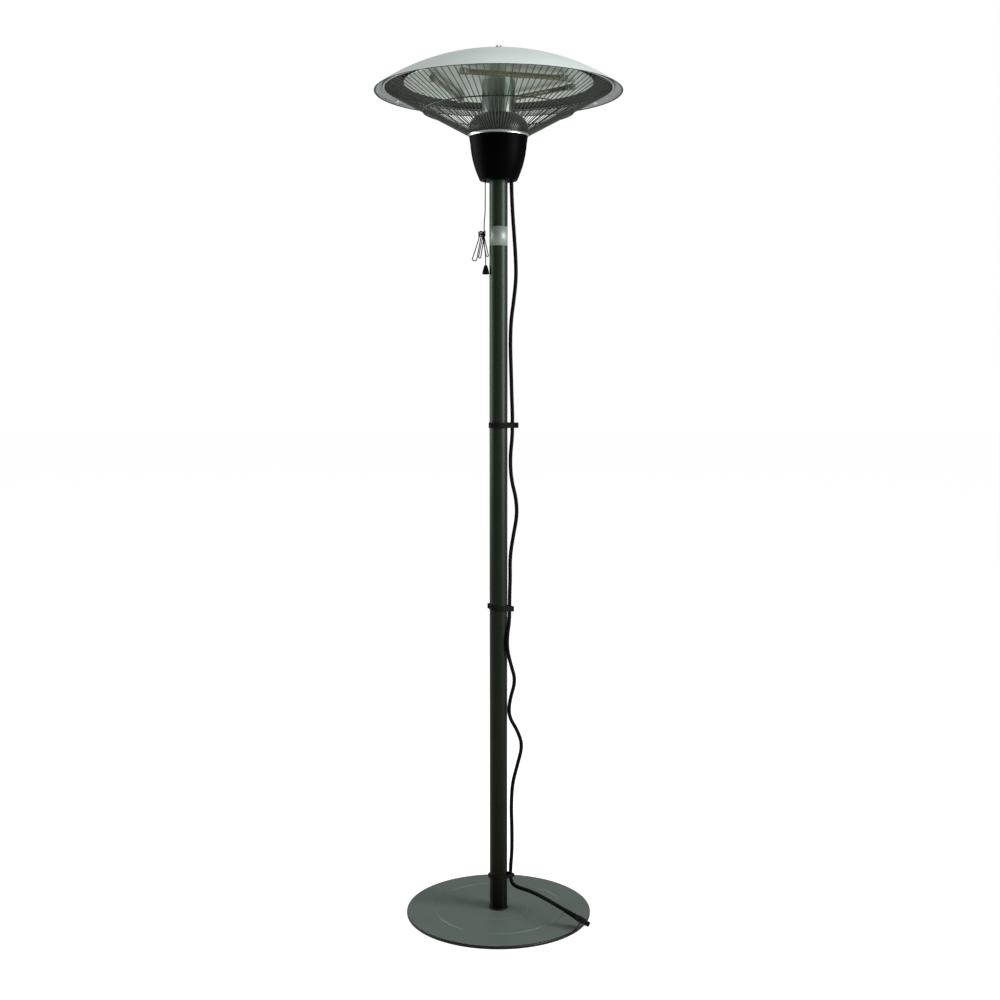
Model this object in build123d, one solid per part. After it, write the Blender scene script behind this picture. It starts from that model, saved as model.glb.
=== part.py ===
from build123d import *
from math import acos, atan2, cos, degrees, hypot, pi, radians, sin, sqrt, tan
import os

# An infrared standing patio heater, in millimetres. +Z is up, the origin is the centre of the
# underside of the base, and -Y is the front. Every sub-part is written to parts/NAME.step.

# Base
base_radius = 225.0
base_height = 9.0
base_sheet = 1.5
base_edge_round = 3.0
base_step_radius = 74.0
base_step_height = 1.2
base_groove_radius = 158.0
base_groove_width = 9.0
base_groove_depth = 0.9
weight_gap = 0.3
foot_height = 1.5
foot_radius = 12.0
foot_count = 6
foot_circle_radius = 196.0
foot_recess_depth = 2.0
bolt_radius = 5.0
bolt_length = 42.0
bolt_head_radius = 9.2
bolt_head_height = 3.0
washer_radius = 15.0
washer_thickness = 1.5
bolt_recess_radius = 17.0
bolt_recess_depth = 3.5

# Pole: four tubes, each with a drawn-in spigot that enters the tube above
pole_radius = 21.5
pole_wall = 1.2
pole_joint_heights = [271.0, 712.0, 1206.0]
pole_top = 1800.0
pole_edge = 0.4
spigot_length = 45.0
spigot_clearance = 0.15
spigot_neck = 3.0
foot_plug_length = 38.0
foot_ring_radius = pole_radius + 2.1
foot_ring_height = 3.0

# Switch housing: the black cup under the head
cup_bottom = pole_top - 33.0
cup_top = pole_top + 67.4
cup_bottom_radius = 44.8
cup_belly_radius = 60.4
cup_belly_height = pole_top + 14.0
cup_shoulder_radius = 66.0
cup_shoulder_height = pole_top + 50.0
cup_rim_radius = 68.6
cup_wall = 3.0
cup_floor = 4.0
cup_edge_round = 3.0
pole_hole_clearance = 0.4
switch_boss_radius = 3.0

# Neck: carries the head on the top of the pole
neck_spigot_length = 45.0
neck_wall = 3.0
neck_flange_radius = 24.0
neck_flange_thickness = 4.0
neck_column_radius = 15.0
neck_top_radius = 26.0
hub_plate_radius = cup_rim_radius + 0.4
hub_plate_thickness = 2.0

# Central column, its lower cover and the reflector
post_radius = 38.5
post_wall = 1.0
cone_top_height = pole_top + 119.0
cone_bottom_radius = 66.4
cone_shoulder_radius = 69.5
cone_shoulder_height = pole_top + 86.0
cone_sheet = 1.2
reflector_height = pole_top + 195.0
reflector_radius = 220.0
reflector_flat_radius = 192.0
reflector_edge_height = pole_top + 189.0
reflector_sheet = 0.8
clamp_plate_radius = 42.0
clamp_plate_thickness = 2.0
stud_radius = 4.0
stud_nut_height = 6.5
stud_nut_flats = 13.0
spacer_radius = 8.0

# Canopy
canopy_radius = 289.2
canopy_apex = pole_top + 258.2
canopy_sphere_radius = 514.5
canopy_sheet = 1.2
canopy_hem_width = 7.0
canopy_hem_gap = 0.35
canopy_hole_radius = 4.4
canopy_washer_radius = 12.0
cap_nut_flats = 16.0
cap_nut_hex_height = 8.0
cap_nut_height = 18.0

# Guard: straight wires between two rings, with a third ring under them
guard_wire_count = 102
guard_wire_radius = 1.1
guard_top_radius = 266.5
guard_top_height = pole_top + 177.4
guard_top_ring_wire = 2.5
guard_bottom_radius = 69.6
guard_bottom_height = pole_top + 71.4
guard_bottom_ring_wire = 2.0
guard_middle_radius = 175.0
guard_middle_ring_wire = 1.5
weld_gap = 0.08
clip_width = 12.0
clip_sheet = 1.0
clip_angles = [30.0, 150.0, 270.0]

# Lamps: three quartz tubes in a triangle round the column
lamp_distance = 123.0
lamp_height = pole_top + 183.5
lamp_length = 212.0
lamp_radius = 6.0
lamp_wall = 1.0
filament_radius = 1.6
lamp_first_angle = 16.5
cap_radius = 7.5
cap_length = 20.0
bracket_width = 18.0
bracket_sheet = 1.2
bracket_foot = 14.0
lamp_names = ["front", "right", "left"]

# Pull switch
pull_x = -31.0
pull_travel = 10.0
plunger_bottom = pole_top - 23.0
plunger_rod_radius = 1.9
plunger_head_radius = 4.5
plunger_head_thickness = 3.0
plunger_head_bottom = pole_top + 8.0
plunger_clearance = 0.3
switch_floor_top = pole_top - 12.0
switch_sheet = 2.0
switch_top = pole_top + 41.0
switch_inner_x = -25.6
switch_outer_x = -46.0
switch_half_width = 9.0
cheek_thickness = 1.5
switch_pin_radius = 1.5
pin_clearance = 0.05
lever_pivot_x = -42.0
lever_pivot_z = pole_top + 16.0
lever_hub_radius = 4.0
lever_width = 6.0
lever_tip_x = -27.0
lever_arm_thickness = 2.5
lever_head_gap = 0.3
ratchet_x = -37.5
ratchet_z = pole_top + 32.0
ratchet_radius = 7.0
ratchet_teeth = 8
ratchet_tooth_depth = 1.6
spring_wire = 0.9
spring_radius = 3.5
spring_turns = 5.5

# Electrical pieces on the neck flange
terminal_inner_x = 16.0
terminal_outer_x = 40.0
terminal_half_width = 14.0
terminal_height = 22.0
tilt_switch_width = 16.0
tilt_switch_depth = 20.0
tilt_switch_height = 18.0
lead_radius = 3.0
lead_x = post_radius - 7.0
lead_top = pole_top + 190.0

# Pull cord, its hank and its knob
pull_cord_radius = 1.2
pull_cord_top = plunger_bottom
hank_start = 1656.0
hank_end = 1634.0
hank_center_x = -39.1
hank_rows = (1.5, -1.5)
strand_pitch = 3.6
tie_wire = 1.1
tie_turns = 4
tie_pitch = 3.1
tie_center_z = 1644.5
knob_x = -30.0
knob_y = -4.7
knob_top = 1571.5
knob_bottom = 1550.5
knob_bottom_radius = 8.2
knob_top_radius = 3.4
bush_radius = 4.5
bush_hole_radius = 2.4

# Power cord, its clips and its plug
power_cord_radius = 4.5
power_cord_x = 30.0
grommet_flange_radius = 7.4
grommet_body_radius = 6.3
grommet_clearance = 0.3
grommet_flange_thickness = 2.5
strap_thickness = 1.8
strap_clearance = 0.3
straps = {
    "top": {"height": 1196.0, "width": 13.0, "cord": (33.0, 0.0), "tilt": 0.0, "tail": 9.0, "left_tail": 0.0},
    "middle": {"height": 758.0, "width": 13.0, "cord": (26.7, 0.0), "tilt": 7.0, "tail": 5.0, "left_tail": 4.0},
    "bottom": {"height": 92.0, "width": 9.0, "cord": (29.5, 0.0), "tilt": 0.0, "tail": 4.0, "left_tail": 3.0},
}
plug_face_center = Vector(193.0, -130.8, 26.4)
plug_pin_direction = Vector(-0.503, -0.422, -0.754).normalized()
plug_cord_direction = Vector(0.864, -0.249, -0.437).normalized()
plug_face_radius = 17.0
plug_thickness = 12.0
plug_neck_radius = 6.4
plug_pin_radius = 2.4
plug_pin_length = 17.0
plug_pin_spacing = 19.0
relief_length = 24.0
relief_start_radius = 6.2
relief_end_radius = 5.3
relief_ribs = 5

# Route of the power cord from the terminal block to the plug, chosen by hand
power_cord_points = [
    (30.0, 0.0, 1804.0),
    (30.0, 0.0, 1758.0),
    (32.5, -1.0, 1700.0),
    (36.5, -2.0, 1645.0),
    (40.5, -2.0, 1588.0),
    (41.5, -1.0, 1540.0),
    (36.0, 1.0, 1490.0),
    (29.0, 1.0, 1438.0),
    (28.0, 0.0, 1380.0),
    (30.0, -1.0, 1322.0),
    (31.5, 0.0, 1262.0),
    (33.2, 0.0, 1222.0),
    (33.0, 0.0, 1170.0),
    (27.6, 0.5, 1118.0),
    (30.5, 1.5, 1066.0),
    (42.0, 1.5, 1022.0),
    (44.5, 0.5, 980.0),
    (35.5, -0.5, 932.0),
    (27.4, -1.0, 880.0),
    (28.2, -0.5, 828.0),
    (26.7, 0.0, 788.0),
    (26.7, 0.0, 742.0),
    (25.4, -8.6, 718.0),
    (21.3, -16.0, 692.0),
    (20.9, -16.8, 658.0),
    (30.0, -9.0, 618.0),
    (41.5, -6.0, 579.0),
    (27.0, -7.5, 532.0),
    (24.5, -9.5, 492.0),
    (46.0, -5.0, 456.0),
    (58.5, -3.0, 418.0),
    (46.0, -3.0, 370.0),
    (33.5, -2.0, 322.0),
    (31.0, -1.0, 264.0),
    (33.0, 0.5, 206.0),
    (33.0, 1.0, 150.0),
    (29.5, 0.0, 112.0),
    (29.5, 0.0, 77.0),
    (42.0, -6.0, 64.0),
    (76.0, -26.0, 62.0),
    (110.0, -64.0, 59.0),
]

full_turn = 360
parts = {}


def turned(*edges, angle=full_turn):
    """Turn a closed outline of radius and height about the vertical axis."""
    outline = Curve() + list(edges)
    return revolve(Plane.XZ * make_face(outline), Axis.Z, angle)


def turned_polygon(*points, angle=full_turn):
    """Turn a polygon of radius and height about the vertical axis."""
    return turned(*Polyline(*points, close=True).edges(), angle=angle)


def disc(radius, bottom, top, center=(0, 0)):
    """An upright solid cylinder between two heights."""
    return Pos(center[0], center[1], bottom) * extrude(Circle(radius), top - bottom)


def tube(radius, bore, bottom, top, center=(0, 0)):
    """An upright hollow cylinder between two heights."""
    return Pos(center[0], center[1], bottom) * extrude(Circle(radius) - Circle(bore), top - bottom)


def block(low, high):
    """A box between two opposite corners."""
    size = [h - l for l, h in zip(low, high)]
    middle = [(h + l) / 2 for l, h in zip(low, high)]
    return Pos(*middle) * Box(*size)


def cord_path(points):
    """Straight runs joined by arcs as large as their two runs allow. Prints the arcs' radii."""
    stops = [Vector(*p) for p in points]
    radii = []
    for before, here, after in zip(stops, stops[1:], stops[2:]):
        turn = (here - before).get_angle(after - here)
        shorter = min((here - before).length, (after - here).length)
        radii.append(0.45 * shorter / tan(radians(turn) / 2))
    print("arc radii", [round(r, 1) for r in radii])
    return FilletPolyline(*stops, radius=radii)


def swept(path, section):
    """Sweep a section, drawn about its own centre, along a path. Prints a check of the volume."""
    start = path.location_at(0)
    first = Plane(origin=start.position, z_dir=path.tangent_at(0))
    solid = sweep(first * section, path=path)
    print("volume over section times length", round(solid.volume / (section.area * path.length), 4))
    return solid


def canopy_inside(radius, drop=0.0):
    """Height of the underside of the canopy at a radius."""
    sphere = canopy_sphere_radius - canopy_sheet
    return canopy_apex - canopy_sphere_radius + sqrt(sphere ** 2 - radius ** 2) - drop


def canopy_outside(radius):
    """Height of the upper side of the canopy at a radius."""
    return canopy_apex - canopy_sphere_radius + sqrt(canopy_sphere_radius ** 2 - radius ** 2)


def cup_outline(offset):
    """Side of the cup, moved inwards by an offset: a bellied arc below a tapered rim."""
    belly = ThreePointArc(
        (cup_bottom_radius - offset, cup_bottom + cup_edge_round),
        (cup_belly_radius - offset, cup_belly_height),
        (cup_shoulder_radius - offset, cup_shoulder_height),
    )
    rim = Line(belly @ 1, (cup_rim_radius - offset, cup_top))
    return belly, rim


def guard_point(radius):
    """Height of the guard wires' centre line at a radius."""
    slope = (guard_top_height - guard_bottom_height) / (guard_top_radius - guard_bottom_radius)
    return guard_bottom_height + (radius - guard_bottom_radius) * slope


def lamp_frame(index):
    """Plane of one lamp: its x runs along the lamp and its y points away from the column."""
    angle = radians(lamp_first_angle + full_turn / 3 * index)
    outward = Vector(sin(angle), -cos(angle), 0)
    along = Vector(cos(angle), sin(angle), 0)
    return Plane(origin=outward * lamp_distance + Vector(0, 0, lamp_height), x_dir=along, z_dir=(0, 0, 1))


# Heights that follow from the sizes above
base_step_top = base_height + base_step_height
weight_top = base_height - base_sheet
post_bottom = cup_top + hub_plate_thickness
canopy_washer_bottom = canopy_apex
recess_top = foot_height + bolt_recess_depth


def base_parts():
    """Pressed cover over an iron weight, on rubber pads, with the bolt that holds the pole."""
    step_slope = 3.0
    groove_inner = base_groove_radius - base_groove_width / 2
    groove_outer = base_groove_radius + base_groove_width / 2
    inner_radius = base_radius - base_sheet
    top_line = [
        (bolt_radius + 0.3, base_step_top),
        (base_step_radius - step_slope, base_step_top),
        (base_step_radius, base_height),
        (groove_inner, base_height),
        (groove_inner + base_groove_depth, base_height - base_groove_depth),
        (groove_outer - base_groove_depth, base_height - base_groove_depth),
        (groove_outer, base_height),
        (base_radius - base_edge_round, base_height),
    ]
    edge_arc = RadiusArc(
        (base_radius, base_height - base_edge_round),
        (base_radius - base_edge_round, base_height),
        -base_edge_round,
    )
    cover = turned(
        *Polyline(*top_line).edges(),
        edge_arc,
        *Polyline(
            (base_radius, base_height - base_edge_round),
            (base_radius, foot_height),
            (inner_radius, foot_height),
            (inner_radius, weight_top - base_edge_round / 2),
            (inner_radius - base_edge_round / 2, weight_top),
            (base_step_radius - step_slope / 2, weight_top),
            (base_step_radius - step_slope, base_step_top - base_sheet),
            (bolt_radius + 0.3, base_step_top - base_sheet),
            (bolt_radius + 0.3, base_step_top),
        ).edges(),
    )
    weight_radius = inner_radius - weight_gap
    weight = turned_polygon(
        (bolt_radius + 0.3, recess_top),
        (bolt_recess_radius, recess_top),
        (bolt_recess_radius, foot_height),
        (weight_radius, foot_height),
        (weight_radius, weight_top - base_edge_round / 2 - weight_gap),
        (weight_radius - base_edge_round / 2, weight_top - weight_gap / 2),
        (base_step_radius - step_slope, weight_top),
        (bolt_radius + 0.3, weight_top),
    )
    pads = [
        disc(foot_radius, 0, foot_height + foot_recess_depth, (spot.position.X, spot.position.Y))
        for spot in PolarLocations(foot_circle_radius, foot_count)
    ]
    for pad in pads:
        weight -= pad
    parts["base_cover"] = cover
    parts["base_weight"] = weight
    parts["base_feet"] = Compound(children=pads)

    washer_bottom = recess_top - washer_thickness
    head_bottom = washer_bottom - bolt_head_height
    head = Pos(0, 0, head_bottom) * extrude(RegularPolygon(bolt_head_radius, 6), bolt_head_height)
    parts["base_bolt"] = head + disc(bolt_radius, washer_bottom, washer_bottom + bolt_length)
    parts["base_washer"] = tube(washer_radius, bolt_radius + 0.3, washer_bottom, recess_top)


def pole_section(bottom, top, spigot):
    """One tube of the pole, with a drawn-in spigot on top if another tube follows."""
    bore = pole_radius - pole_wall
    if not spigot:
        return turned_polygon(
            (bore, bottom),
            (pole_radius - pole_edge, bottom),
            (pole_radius, bottom + pole_edge),
            (pole_radius, top),
            (bore, top),
        )
    spigot_radius = bore - spigot_clearance
    spigot_bore = spigot_radius - pole_wall
    return turned_polygon(
        (bore, bottom),
        (pole_radius - pole_edge, bottom),
        (pole_radius, bottom + pole_edge),
        (pole_radius, top - pole_edge),
        (pole_radius - pole_edge, top),
        (spigot_radius, top),
        (spigot_radius, top + spigot_length),
        (spigot_bore, top + spigot_length),
        (spigot_bore, top - spigot_neck + pole_wall),
        (bore, top - spigot_neck - pole_wall),
    )


def pole_parts():
    """The four tubes, the threaded plug in the lowest one and the ring round its foot."""
    names = ["pole_foot", "pole_lower", "pole_middle", "pole_upper"]
    bottoms = [base_step_top] + pole_joint_heights
    tops = pole_joint_heights + [pole_top]
    for name, bottom, top in zip(names, bottoms, tops):
        parts[name] = pole_section(bottom, top, spigot=top != pole_top)
    plug_radius = pole_radius - pole_wall - spigot_clearance
    plug_top = base_step_top + foot_plug_length
    parts["pole_foot_plug"] = tube(plug_radius, bolt_radius + 0.05, base_step_top, plug_top)
    parts["pole_foot_ring"] = turned_polygon(
        (pole_radius + spigot_clearance, base_step_top),
        (foot_ring_radius, base_step_top),
        (foot_ring_radius, base_step_top + foot_ring_height / 3),
        (pole_radius + spigot_clearance + 0.8, base_step_top + foot_ring_height),
        (pole_radius + spigot_clearance, base_step_top + foot_ring_height),
    )


def housing_parts():
    """The cup, the bushes in its floor, and the neck that carries the head on the pole."""
    belly, rim = cup_outline(0)
    inner_belly, inner_rim = cup_outline(cup_wall)
    floor_top = cup_bottom + cup_floor
    hole = pole_radius + pole_hole_clearance
    edge = RadiusArc((cup_bottom_radius, cup_bottom + cup_edge_round),
                     (cup_bottom_radius - cup_edge_round, cup_bottom), cup_edge_round)
    cup = turned(
        belly,
        rim,
        Line(rim @ 1, inner_rim @ 1),
        inner_rim,
        inner_belly,
        Line(inner_belly @ 0, (cup_bottom_radius - cup_wall - 1, floor_top)),
        Line((cup_bottom_radius - cup_wall - 1, floor_top), (hole, floor_top)),
        Line((hole, floor_top), (hole, cup_bottom)),
        Line((hole, cup_bottom), (cup_bottom_radius - cup_edge_round, cup_bottom)),
        edge,
    )
    cup -= disc(bush_radius, cup_bottom, floor_top, (pull_x, 0))
    cup -= disc(grommet_body_radius, cup_bottom, floor_top, (power_cord_x, 0))
    boss_top = switch_floor_top - switch_sheet
    for side in (-1, 1):
        cup += disc(switch_boss_radius, floor_top, boss_top, (pull_x - 6.5, side * 6.0))
    parts["switch_housing"] = cup

    parts["pull_cord_bush"] = Pos(pull_x, 0, 0) * turned_polygon(
        (bush_hole_radius, cup_bottom - 0.8),
        (bush_radius - 0.1, cup_bottom - 0.8),
        (bush_radius - 0.1, floor_top),
        (bush_hole_radius, floor_top),
    )
    cord_hole = power_cord_radius + grommet_clearance
    parts["cord_grommet"] = Pos(power_cord_x, 0, 0) * turned_polygon(
        (cord_hole, cup_bottom - grommet_flange_thickness),
        (grommet_flange_radius - 0.8, cup_bottom - grommet_flange_thickness),
        (grommet_flange_radius, cup_bottom - 0.8),
        (grommet_flange_radius, cup_bottom),
        (grommet_body_radius - 0.1, cup_bottom),
        (grommet_body_radius - 0.1, floor_top),
        (cord_hole, floor_top),
    )

    spigot = pole_radius - pole_wall - spigot_clearance
    flange_top = pole_top + neck_flange_thickness
    column_bore = neck_column_radius - neck_wall
    parts["neck_column"] = turned_polygon(
        (column_bore, pole_top - neck_spigot_length),
        (spigot, pole_top - neck_spigot_length),
        (spigot, pole_top),
        (neck_flange_radius, pole_top),
        (neck_flange_radius, flange_top),
        (neck_column_radius, flange_top),
        (neck_column_radius, cup_top - neck_flange_thickness),
        (neck_top_radius, cup_top - neck_flange_thickness),
        (neck_top_radius, cup_top),
        (column_bore, cup_top),
    )
    plate = tube(hub_plate_radius, column_bore, cup_top, post_bottom)
    plate -= disc(lead_radius + 0.8, cup_top, post_bottom, (lead_x, 0))
    parts["hub_plate"] = plate


def switch_parts():
    """The pull switch: frame, plunger with its return spring, lever and ratchet wheel."""
    frame_bottom = switch_floor_top - switch_sheet
    frame = block((switch_outer_x, -switch_half_width, frame_bottom),
                  (switch_inner_x, switch_half_width, switch_floor_top))
    for side in (-1, 1):
        inside = side * (switch_half_width - cheek_thickness)
        outside = side * switch_half_width
        frame += block((switch_outer_x, min(inside, outside), switch_floor_top),
                       (switch_inner_x, max(inside, outside), switch_top))
    frame -= disc(plunger_rod_radius + plunger_clearance, frame_bottom, switch_floor_top, (pull_x, 0))
    pin_places = [(lever_pivot_x, lever_pivot_z), (ratchet_x, ratchet_z)]
    pins = []
    for x, z in pin_places:
        pin = Pos(x, 0, z) * Rot(90, 0, 0) * Cylinder(switch_pin_radius, 2 * switch_half_width)
        frame -= pin
        pins.append(pin)
    parts["switch_frame"] = frame
    parts["switch_pins"] = Compound(children=pins)

    head_top = plunger_head_bottom + plunger_head_thickness
    plunger = disc(plunger_rod_radius, plunger_bottom, plunger_head_bottom, (pull_x, 0))
    plunger += disc(plunger_head_radius, plunger_head_bottom, head_top, (pull_x, 0))
    parts["switch_plunger"] = plunger

    height = plunger_head_bottom - switch_floor_top - spring_wire - 0.2
    bottom = switch_floor_top + spring_wire / 2 + 0.1
    coil = Pos(pull_x, 0, bottom) * Helix(height / spring_turns, height, spring_radius)
    wire = Plane(origin=coil @ 0, z_dir=coil % 0) * Rectangle(spring_wire, spring_wire)
    parts["switch_spring"] = sweep(wire, path=coil, is_frenet=True)

    arm_bottom = head_top + lever_head_gap
    half = lever_width / 2
    lever = Pos(lever_pivot_x, 0, lever_pivot_z) * Rot(90, 0, 0) * Cylinder(lever_hub_radius, lever_width)
    lever += block((lever_pivot_x, -half, arm_bottom), (lever_tip_x, half, arm_bottom + lever_arm_thickness))
    pawl_x = lever_pivot_x + 7.0
    pawl_top = ratchet_z - ratchet_radius - 1.2
    lever += block((pawl_x - 1, -half, arm_bottom), (pawl_x + 1, half, pawl_top))
    lever -= Pos(lever_pivot_x, 0, lever_pivot_z) * Rot(90, 0, 0) * Cylinder(
        switch_pin_radius + pin_clearance, 2 * lever_width)
    parts["switch_lever"] = lever

    outline = []
    for tooth in range(ratchet_teeth):
        angle = 2 * pi * tooth / ratchet_teeth
        root = ratchet_radius - ratchet_tooth_depth
        outline.append((ratchet_radius * cos(angle), ratchet_radius * sin(angle)))
        outline.append((root * cos(angle), root * sin(angle)))
    wheel = extrude(make_face(Polyline(*outline, close=True)), lever_width / 2, both=True)
    wheel -= Cylinder(switch_pin_radius + pin_clearance, 2 * lever_width)
    parts["ratchet_wheel"] = Pos(ratchet_x, 0, ratchet_z) * Rot(90, 0, 0) * wheel


def electrical_parts():
    """Terminal block, tip-over switch and the leads that climb inside the column."""
    flange_top = pole_top + neck_flange_thickness
    terminal_top = flange_top + terminal_height
    terminal = block((terminal_inner_x, -terminal_half_width, flange_top),
                     (terminal_outer_x, terminal_half_width, terminal_top))
    for row in (-1, 0, 1):
        terminal -= block((terminal_outer_x - 3, row * 9 - 2.5, flange_top + 6),
                          (terminal_outer_x, row * 9 + 2.5, terminal_top - 6))
    parts["terminal_block"] = terminal
    tilt_near = neck_column_radius + 1
    tilt = block((-tilt_switch_width / 2, tilt_near, flange_top),
                 (tilt_switch_width / 2, tilt_near + tilt_switch_depth, flange_top + tilt_switch_height))
    parts["tilt_switch"] = fillet(tilt.edges().filter_by(Axis.Z), 2)
    parts["lead_bundle"] = disc(lead_radius, terminal_top, lead_top, (lead_x, 0))


def column_parts():
    """Polished column on the hub plate, its lower cover, the reflector and what clamps them."""
    parts["post"] = tube(post_radius, post_radius - post_wall, post_bottom, reflector_height)

    foot = (cone_bottom_radius, post_bottom)
    shoulder = (cone_shoulder_radius, cone_shoulder_height)
    belly = (cone_shoulder_radius - 6.0, cone_shoulder_height + 18.0)
    top = (post_radius + 0.3, cone_top_height)
    outer = ThreePointArc(shoulder, belly, (top[0] + 1.5, top[1]))
    inner = ThreePointArc(
        (shoulder[0] - cone_sheet, shoulder[1]),
        (belly[0] - cone_sheet * 0.8, belly[1] - cone_sheet * 0.8),
        (top[0], top[1] - cone_sheet),
    )
    parts["hub_cone"] = turned(
        Line(foot, shoulder),
        outer,
        Line(outer @ 1, top),
        Line(top, inner @ 1),
        inner,
        Line(inner @ 0, (foot[0] - cone_sheet, foot[1])),
        Line((foot[0] - cone_sheet, foot[1]), foot),
    )

    dip = reflector_height - reflector_edge_height
    bend_x = (reflector_flat_radius + reflector_radius) / 2 + 2
    bend_z = reflector_height - dip * 0.32
    under = ThreePointArc((reflector_flat_radius, reflector_height), (bend_x, bend_z),
                          (reflector_radius, reflector_edge_height))
    over = ThreePointArc((reflector_flat_radius, reflector_height + reflector_sheet),
                         (bend_x + 0.3, bend_z + reflector_sheet),
                         (reflector_radius + 0.4, reflector_edge_height + reflector_sheet))
    hole = stud_radius + 0.4
    parts["reflector"] = turned(
        Line((hole, reflector_height), under @ 0),
        under,
        Line(under @ 1, over @ 1),
        over,
        Line(over @ 0, (hole, reflector_height + reflector_sheet)),
        Line((hole, reflector_height + reflector_sheet), (hole, reflector_height)),
    )
    plate_bottom = reflector_height + reflector_sheet
    plate_top = plate_bottom + clamp_plate_thickness
    parts["clamp_plate"] = tube(clamp_plate_radius, hole, plate_bottom, plate_top)
    stud_bottom = reflector_height - stud_nut_height - 2
    stud_top = canopy_apex + cap_nut_height * 0.6
    parts["center_stud"] = disc(stud_radius, stud_bottom, stud_top)
    nut = extrude(RegularPolygon(stud_nut_flats / 2, 6, major_radius=False), stud_nut_height)
    nut = Pos(0, 0, reflector_height - stud_nut_height) * nut
    parts["stud_nut"] = nut - disc(stud_radius + 0.05, stud_bottom, stud_top)
    parts["canopy_spacer"] = tube(spacer_radius, hole, plate_top, canopy_inside(spacer_radius))


def canopy_parts():
    """The spun dome with its folded hem, and the washer and cap nut on top."""
    rim_out = canopy_outside(canopy_radius)
    middle = canopy_radius / 2
    over = ThreePointArc((canopy_hole_radius, canopy_outside(canopy_hole_radius)),
                         (middle, canopy_outside(middle)), (canopy_radius, rim_out))
    hem_inner = canopy_radius - canopy_hem_width
    hem_drop = canopy_sheet
    under_hem = ThreePointArc(
        (canopy_radius - 0.9, rim_out - hem_drop),
        (canopy_radius - canopy_hem_width / 2, canopy_inside(canopy_radius - canopy_hem_width / 2, hem_drop)),
        (hem_inner, canopy_inside(hem_inner, hem_drop)),
    )
    under = ThreePointArc((hem_inner, canopy_inside(hem_inner)), (middle, canopy_inside(middle)),
                          (canopy_hole_radius, canopy_inside(canopy_hole_radius)))
    parts["canopy"] = turned(
        over,
        Line(over @ 1, under_hem @ 0),
        under_hem,
        Line(under_hem @ 1, under @ 0),
        under,
        Line(under @ 1, over @ 0),
    )
    washer_top = canopy_washer_bottom + canopy_sheet
    parts["canopy_washer"] = tube(canopy_washer_radius, canopy_hole_radius, canopy_washer_bottom, washer_top)
    hexagon = extrude(RegularPolygon(cap_nut_flats / 2, 6, major_radius=False), cap_nut_hex_height)
    dome_radius = cap_nut_flats / 2 - 0.8
    dome_height = cap_nut_height - cap_nut_hex_height
    shoulder = dome_height - dome_radius
    dome = turned(
        Line((0, 0), (dome_radius, 0)),
        Line((dome_radius, 0), (dome_radius, shoulder)),
        RadiusArc((dome_radius, shoulder), (0, dome_height), -dome_radius),
        Line((0, dome_height), (0, 0)),
    )
    nut = hexagon + Pos(0, 0, cap_nut_hex_height) * dome
    nut = Pos(0, 0, washer_top) * nut
    parts["cap_nut"] = nut - disc(stud_radius + 0.05, washer_top, canopy_apex + cap_nut_height * 0.6)


def guard_parts():
    """The wire guard: its three rings, its wires, and the clips on the canopy's hem."""
    rise = atan2(guard_top_height - guard_bottom_height, guard_top_radius - guard_bottom_radius)
    along = Vector(cos(rise), 0, sin(rise))
    start = Vector(guard_bottom_radius, 0, guard_bottom_height) + along * (guard_bottom_ring_wire + weld_gap)
    end = Vector(guard_top_radius, 0, guard_top_height) - along * (guard_top_ring_wire + weld_gap)
    section = Plane(origin=start, z_dir=along) * RegularPolygon(guard_wire_radius, 6)
    wire = extrude(section, (end - start).length)
    step = full_turn / guard_wire_count
    parts["guard_wires"] = Compound(children=[
        Rot(0, 0, -90 + step * i) * wire for i in range(guard_wire_count)
    ])
    drop = guard_wire_radius + guard_middle_ring_wire + weld_gap
    middle_radius = guard_middle_radius + drop * sin(rise)
    middle_height = guard_point(guard_middle_radius) - drop * cos(rise)
    rings = {
        "guard_top_ring": (guard_top_radius, guard_top_height, guard_top_ring_wire),
        "guard_middle_ring": (middle_radius, middle_height, guard_middle_ring_wire),
        "guard_bottom_ring": (guard_bottom_radius, guard_bottom_height, guard_bottom_ring_wire),
    }
    for name, (radius, height, wire_radius) in rings.items():
        parts[name] = revolve(Plane.XZ * Pos(radius, height) * RegularPolygon(wire_radius, 8), Axis.Z)

    gap = 0.25
    hook_bottom = guard_top_height - guard_top_ring_wire - gap - clip_sheet
    hook_inner = guard_top_radius - guard_top_ring_wire - gap - clip_sheet
    foot_inner = guard_top_radius + guard_top_ring_wire + gap
    foot_outer = canopy_radius - canopy_hem_width - 1
    foot_top_inner = canopy_inside(foot_inner, gap)
    foot_top_outer = canopy_inside(foot_outer, gap)
    hook_tip = guard_top_height + 0.5
    spread = degrees(clip_width / guard_top_radius)
    clip = turned_polygon(
        (foot_inner, hook_bottom + clip_sheet),
        (foot_inner, foot_top_inner),
        (foot_outer, foot_top_outer),
        (foot_outer, foot_top_outer - clip_sheet),
        (foot_inner + clip_sheet, foot_top_inner - clip_sheet * 1.6),
        (foot_inner + clip_sheet, hook_bottom),
        (hook_inner, hook_bottom),
        (hook_inner, hook_tip),
        (hook_inner + clip_sheet, hook_tip),
        (hook_inner + clip_sheet, hook_bottom + clip_sheet),
        angle=spread,
    )
    wire_step_shift = step / 2
    parts["guard_clips"] = Compound(children=[
        Rot(0, 0, angle - spread / 2 + wire_step_shift) * clip for angle in clip_angles
    ])


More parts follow.
